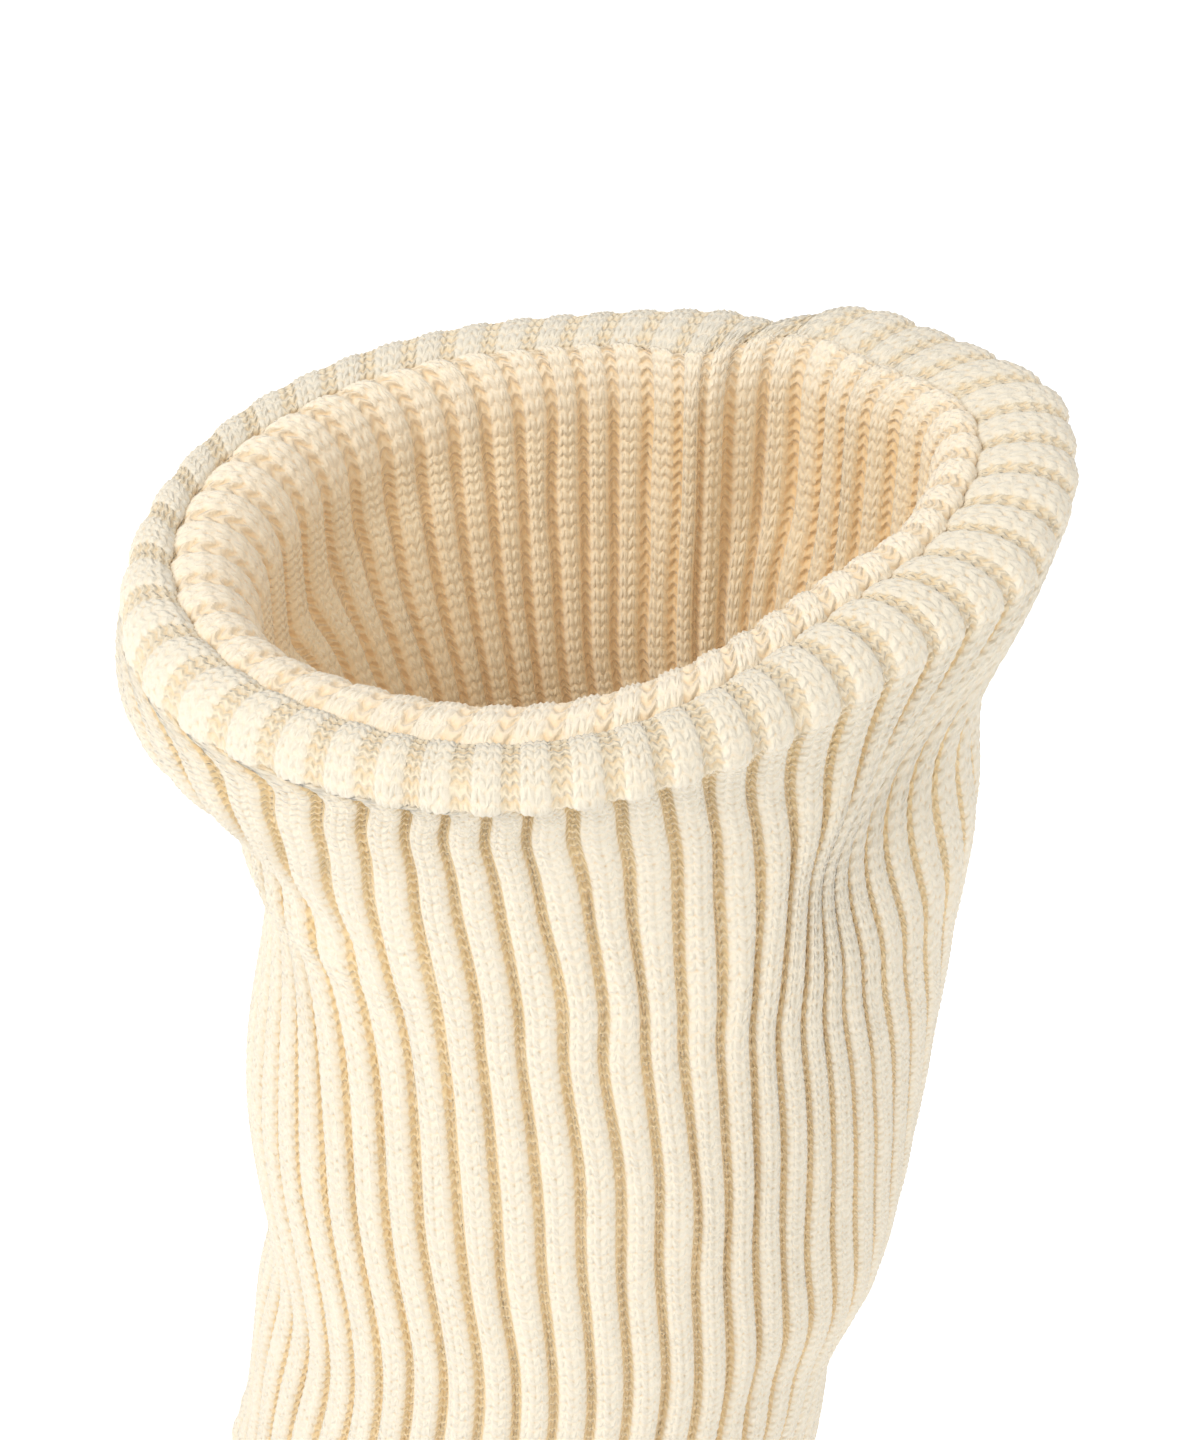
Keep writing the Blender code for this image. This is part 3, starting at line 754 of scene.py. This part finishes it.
def make_foot_piece(name, first, last, tip=None):
    """A stretch of the foot: ribbed over the instep, plain knit under it. It may end at a tip."""
    closed = tip is not None
    tips = (tip, tip + (CLOTH, 0, 0)) if closed else ()
    ribs, section = (columns[::2] for columns in rib_columns())
    grid, out, along = foot_side(first, last, ribs, FOOT_STEP, tip)
    instep = np.clip(np.minimum(ribs, INSTEP_RIBS - ribs) + 0.5, 0, 1) * (not closed)
    raised = instep * section * np.minimum((along[-1] - along) / INSTEP_ENDS, 1)[:, None]
    face = laid_on(0, grid + out * (FOOT_RELIEF * (raised - 1))[..., None])
    back, back_out, back_along = foot_side(first, last, PLAIN_RIBS, INSIDE_STEP, tip)
    back = laid_on(CLOTH, back - back_out * CLOTH)
    outside = Side(face, ribs, along[:, None] / OUTER_COURSE, normals_of(face))
    inside = Side(back, PLAIN_RIBS, back_along[:, None] / OUTER_COURSE, -normals_of(back))
    return add_wall(name, outside, inside, tips)


def make_seam_yarn():
    """The linking yarn at the bottom of the groove between the two layers."""
    ribs = np.arange(RIBS * YARN_STEPS) / YARN_STEPS
    line = ring_points(SEAM, ribs) - (0, 0, YARN_SUNK)
    ahead = np.roll(line, -1, axis=0) - np.roll(line, 1, axis=0)
    ahead /= np.linalg.norm(ahead, axis=1, keepdims=True)
    aside = np.cross(ahead, (0, 0, 1))
    aside /= np.linalg.norm(aside, axis=1, keepdims=True)
    up = np.cross(aside, ahead)
    turns = np.linspace(0, 2 * math.pi, YARN_SIDES + 1)[:-1]
    tube = np.array([
        line + YARN_RADIUS * (aside * math.cos(turn) + up * math.sin(turn)) for turn in turns
    ])
    columns = len(ribs)
    rows = np.arange(YARN_SIDES)[:, None] * columns
    here = rows + np.arange(columns)
    beside = rows + (np.arange(columns) + 1) % columns
    faces = np.stack([
        beside, np.roll(beside, -1, axis=0), np.roll(here, -1, axis=0), here
    ], axis=2).reshape(-1, 4)
    knit = np.stack(np.broadcast_arrays(ribs, turns[:, None]), axis=2).reshape(-1, 2)
    return add_mesh("linking_yarn", tube.reshape(-1, 3), [faces], knit, None)


class Sum:
    """A number in a material: arithmetic on it adds Math nodes."""

    def __init__(self, tree, socket):
        self.tree = tree
        self.socket = socket

    def math(self, operation, *others, clamp=False):
        node = self.tree.nodes.new("ShaderNodeMath")
        node.operation = operation
        node.use_clamp = clamp
        for socket, value in zip(node.inputs, (self, *others)):
            if isinstance(value, Sum):
                self.tree.links.new(value.socket, socket)
            else:
                socket.default_value = value
        return Sum(self.tree, node.outputs[0])

    def __add__(self, other):
        return self.math("ADD", other)

    def __sub__(self, other):
        return self.math("SUBTRACT", other)

    def __mul__(self, other):
        return self.math("MULTIPLY", other)

    def __truediv__(self, other):
        return self.math("DIVIDE", other)

    def __neg__(self):
        return self * -1

    def __abs__(self):
        return self.math("ABSOLUTE")

    def part(self):
        return self.math("FRACT")

    def wave(self):
        """Cosine of so many turns."""
        return (self * (2 * math.pi)).math("COSINE")

    def least(self, other):
        return self.math("MINIMUM", other)

    def power(self, other):
        return self.math("POWER", other)

    def step(self, low, high):
        """0 under low, 1 over high, and smooth between."""
        node = self.tree.nodes.new("ShaderNodeMapRange")
        node.interpolation_type = "SMOOTHSTEP"
        self.tree.links.new(self.socket, node.inputs["Value"])
        node.inputs["From Min"].default_value = low
        node.inputs["From Max"].default_value = high
        return Sum(self.tree, node.outputs["Result"])


def noise(tree, vector, kind):
    node = tree.nodes.new("ShaderNodeTexNoise")
    node.inputs["Scale"].default_value = kind.scale
    node.inputs["Detail"].default_value = kind.detail
    node.inputs["Roughness"].default_value = kind.roughness
    tree.links.new(vector, node.inputs["Vector"])
    return Sum(tree, node.outputs["Fac"])


def mixed(tree, share, low, high):
    """A colour that goes from low to high with the share. Each is three numbers or a socket."""
    node = tree.nodes.new("ShaderNodeMix")
    node.data_type = "RGBA"
    tree.links.new(share.socket, node.inputs["Factor"])
    for socket, colour in zip(("A", "B"), (low, high)):
        found = [i for i in node.inputs if i.name == socket and i.type == "RGBA"][0]
        if isinstance(colour, tuple):
            found.default_value = (*colour, 1)
        else:
            tree.links.new(colour, found)
    return [o for o in node.outputs if o.type == "RGBA"][0]


def knit_material(name, purl_arcs, deep_from, deep_to, shaded_cream=CREAM, groove_shade=GROOVE_SHADE_CREAM, glow=0.0):
    """Cream yarn in stitches that follow the mesh's rib and course numbers.

    Between the courses deep_from and deep_to, where the ribs begin to stand proud, the painted
    shade on the purl stitches in the grooves grows darker, and a shaded colour, if given, paints
    the shade inside the tube. The low parts of the knit are painted gold, as shade in its
    hollows. Without purl_arcs the knit is plain."""
    material = bpy.data.materials.new(name)
    material.use_nodes = True
    tree = material.node_tree
    shader = tree.nodes["Principled BSDF"]
    uv = tree.nodes.new("ShaderNodeUVMap")
    uv.uv_map = "knit"
    split = tree.nodes.new("ShaderNodeSeparateXYZ")
    tree.links.new(uv.outputs["UV"], split.inputs["Vector"])
    rib, course = Sum(tree, split.outputs["X"]), Sum(tree, split.outputs["Y"])
    coordinates = tree.nodes.new("ShaderNodeTexCoord").outputs["Object"]
    blur = noise(tree, coordinates, BLUR) - 0.5
    depth = course.step(deep_from, deep_to)
    course = course + blur * BLUR_COURSES
    place = rib.part() - 0.5
    wale = (place / (KNIT_HALF / 2) if purl_arcs else rib * PLAIN_WALES) + blur * BLUR_WALES
    side = abs(((wale + WALES_PAST) / 2).part() * 2 - 1)
    strand = ((-abs(side * 2 - 1) + 1) * STRAND_FILL).least(1)
    beat = (course + side * V_SLANT).wave() * 0.5 + 0.5
    uneven = noise(tree, coordinates, UNEVEN).step(0.35, 0.65)
    dot = (-beat + 1).power(3) * (uneven * 0.7 + 0.3)
    knit = strand * (beat * 0.6 + 0.3) + (-strand + 1) * (dot * -0.6 + 0.45)
    fibre = noise(tree, coordinates, FIBRE) - 0.5
    if purl_arcs:
        arcs, bow = purl_arcs
        across = (-abs(place) + 0.5) / (0.5 - KNIT_HALF)
        arc = ((across * arcs + (arcs - 1)) / 2).wave() * 0.5 + 0.5
        purl = (course + arc * bow).wave() * 0.5 + 0.5
        is_purl = abs(place).step(KNIT_HALF - KNIT_EDGE, KNIT_HALF + 0.05)
        height = knit + (purl - knit) * is_purl
        sunk = is_purl * (depth * 0.5 + 0.35)
    else:
        height = knit
        sunk = None
    # painted shade: where the knit's height is low, in its hollows, the colour turns gold
    unshaded = (height + fibre * FIBRE_COVER).step(SHADE_FULL_BELOW, SHADE_GONE_ABOVE)
    # painted shade inside the tube: the yarn turns to the shaded colour down the layer
    yarn = CREAM if shaded_cream == CREAM else mixed(tree, depth, CREAM, shaded_cream)
    # painted shade in the grooves: the purl stitches turn darker, more so where the ribs stand
    # proud
    if sunk:
        yarn = mixed(tree, sunk, yarn, groove_shade)
    colour = mixed(tree, unshaded, GROOVE_SHADE_GOLD, yarn)
    mottle = noise(tree, coordinates, MOTTLE)
    pale = mixed(tree, (mottle - MOTTLE_FROM) * MOTTLE_SHARE, colour, PALE)
    tree.links.new(pale, shader.inputs["Base Color"])
    bump = tree.nodes.new("ShaderNodeBump")
    bump.inputs["Strength"].default_value = BUMP_STRENGTH
    bump.inputs["Distance"].default_value = BUMP_DEPTH
    tree.links.new((height + fibre * FIBRE_BUMP).socket, bump.inputs["Height"])
    tree.links.new(bump.outputs["Normal"], shader.inputs["Normal"])
    # painted light: the yarn glows a little, standing for the light that comes through the cloth
    shader.inputs["Emission Color"].default_value = (*GLOW, 1)
    shader.inputs["Emission Strength"].default_value = glow
    shader.inputs["Roughness"].default_value = 0.95
    shader.inputs["Specular IOR Level"].default_value = 0.1
    shader.inputs["Sheen Weight"].default_value = 0.4
    shader.inputs["Sheen Roughness"].default_value = 0.6
    return material


def floor_material():
    material = bpy.data.materials.new("pale_floor")
    material.use_nodes = True
    shader = material.node_tree.nodes["Principled BSDF"]
    shader.inputs["Base Color"].default_value = (*FLOOR_WHITE, 1)
    shader.inputs["Roughness"].default_value = 0.9
    shader.inputs["Emission Color"].default_value = (1, 1, 1, 1)
    shader.inputs["Emission Strength"].default_value = FLOOR_GLOW
    return material


def dress(piece, material, nodes):
    """Gives a piece its material and its body, and hides the solids it stands for."""
    piece.data.materials.append(material)
    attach(piece, "root")
    if nodes:
        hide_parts(*nodes)


def add_area_light(row):
    light = bpy.data.lights.new(row.name, "AREA")
    light.shape = "DISK"
    light.size = row.size
    light.energy = row.power
    light.color = row.colour
    obj = bpy.data.objects.new(row.name, light)
    obj.location = row.place
    aim = np.array(LIT_POINT) - np.array(row.place)
    obj.rotation_euler = (
        math.atan2(math.hypot(aim[0], aim[1]), -aim[2]), 0, math.atan2(-aim[0], aim[1])
    )
    bpy.context.scene.collection.objects.link(obj)


def make_stage():
    mesh = bpy.data.meshes.new("floor")
    corners = [(-1, -1), (1, -1), (1, 1), (-1, 1)]
    mesh.from_pydata(
        [(x * FLOOR_HALF, y * FLOOR_HALF, FLOOR_LEVEL) for x, y in corners], [], [(0, 1, 2, 3)]
    )
    floor = bpy.data.objects.new("floor", mesh)
    bpy.context.scene.collection.objects.link(floor)
    mesh.materials.append(floor_material())
    world = bpy.data.worlds.new("studio")
    world.use_nodes = True
    background = world.node_tree.nodes["Background"]
    background.inputs["Color"].default_value = (1, 1, 1, 1)
    background.inputs["Strength"].default_value = WORLD_STRENGTH
    bpy.context.scene.world = world
    for row in LIGHTS:
        add_area_light(row)


def make_camera():
    camera = bpy.data.cameras.new("camera")
    camera.lens = CAMERA_LENS
    camera.sensor_width = 36
    camera.clip_start = 0.01
    obj = bpy.data.objects.new("camera", camera)
    obj.location = (np.array(CAMERA_PLACE) + PLACE) * MM
    obj.rotation_euler = (math.radians(CAMERA_TILT), 0, 0)
    bpy.context.scene.collection.objects.link(obj)
    bpy.context.scene.camera = obj


rib_knit = knit_material("rib_knit_yarn", OUTER_PURL, -0.5, 3)
# the inner layer's yarn, with painted shade inside the tube and a painted glow
inner_knit_painted_shade = knit_material(
    "inner_knit_yarn", INNER_PURL, -4, 2, INNER_SHADE_CREAM, INNER_GROOVE_SHADE_CREAM, INNER_GLOW
)
plain_knit = knit_material("plain_knit_yarn", None, 0, 1)

for leg_piece in make_leg():
    dress(leg_piece, rib_knit, ["leg"])
dress(make_facing(), inner_knit_painted_shade, ["cuff_facing"])
dress(
    make_foot_piece("heel_knit", "ankle", "arch"), rib_knit, ["heel"]
)
dress(
    make_foot_piece("foot_knit", "arch", "toe_line"), rib_knit, ["foot"]
)
toe = make_foot_piece("toe_knit", "toe_line", "toe_seam", np.array(TOE_TIP))
dress(toe, plain_knit, ["toe"])
dress(make_seam_yarn(), rib_knit, [])

make_stage()
make_camera()
bpy.context.scene.view_settings.view_transform = "Standard"
